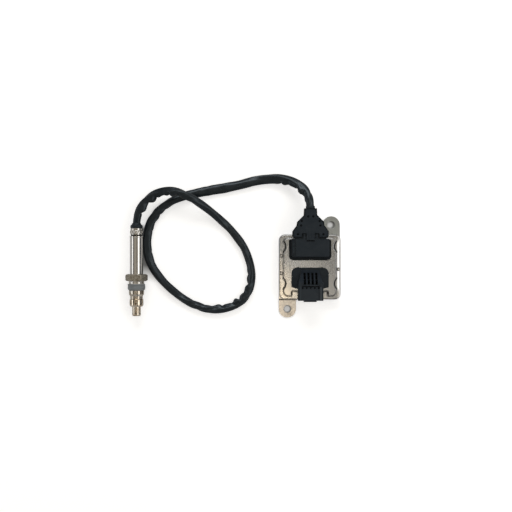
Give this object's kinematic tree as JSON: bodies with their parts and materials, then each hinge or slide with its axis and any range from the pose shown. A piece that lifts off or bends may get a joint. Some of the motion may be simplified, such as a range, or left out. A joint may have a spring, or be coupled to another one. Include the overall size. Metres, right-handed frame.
{
  "type": "nitrogen oxide sensor",
  "caption": "Exhaust gas sensor: flat control unit with two mounting ears and a socket, joined by a soft lead to a screw-in probe with a turning gland nut.",
  "frame": {"origin": "centre of the control unit's two-hole bolt pattern, on its mounting face", "axes": "+Z out of the front cover, +Y towards the plug of the lead, +X to the right with the probe on the left"},
  "size_m": [0.2408, 0.1617, 0.0319],
  "materials": {
    "cast_tray": "as cast, satin",
    "cover_steel": "pressed, satin",
    "seal_rubber": "matte",
    "board": "coated",
    "screw_steel": "plated",
    "chip_black": "moulded",
    "capacitor_can": "drawn",
    "connector_black": "moulded, fine matt",
    "contact_metal": "tin plated",
    "lead_insulation": "smooth",
    "boot_rubber": "matte",
    "sleeve_black": "soft, satin",
    "shield_steel": "turned, lightly heat tinted",
    "body_steel": "turned",
    "nut_steel": "matt, grease on the thread",
    "tube_steel": "polished",
    "crimp_steel": "crimped",
    "ceramic": "fired",
    "talc": "pressed powder"
  },
  "bodies": {
    "sensor": {"base_housing": "cast_tray", "front_cover": "cover_steel", "cover_gasket": "seal_rubber", "sensor_header_gasket": "seal_rubber", "vehicle_header_gasket": "seal_rubber", "plug_seal": "seal_rubber", "circuit_board": "board", "board_screws": "screw_steel", "processor_chip": "chip_black", "sensor_driver_chip": "chip_black", "power_transistors": "chip_black", "smoothing_capacitors": "capacitor_can", "sensor_header": "connector_black", "vehicle_header": "connector_black", "plug_body": "connector_black", "wire_cover_front": "connector_black", "wire_cover_rear": "connector_black", "sensor_header_pins": "contact_metal", "vehicle_pins": "contact_metal", "plug_terminals": "contact_metal", "contact_springs": "contact_metal", "plug_leads": "lead_insulation", "probe_leads": "lead_insulation", "plug_collar": "boot_rubber", "cable_boot": "boot_rubber", "probe_grommet": "boot_rubber", "sensor_cable": "sleeve_black", "inner_shield": "shield_steel", "outer_shield": "shield_steel", "sensor_body": "body_steel", "retaining_ring": "body_steel", "probe_tube": "tube_steel", "crimp_sleeve": "crimp_steel", "sensing_element": "ceramic", "front_ceramic": "ceramic", "rear_ceramic": "ceramic", "contact_carrier": "ceramic", "talc_seal": "talc"},
    "nut": {"gland_nut": "nut_steel"}
  },
  "joints": [
    {"name": "nut_spin", "type": "hinge", "parent": "sensor", "child": "nut", "pos_m": [-0.194, -0.017, 0.011], "axis": [0, 1, 0], "continuous": true}
  ]
}
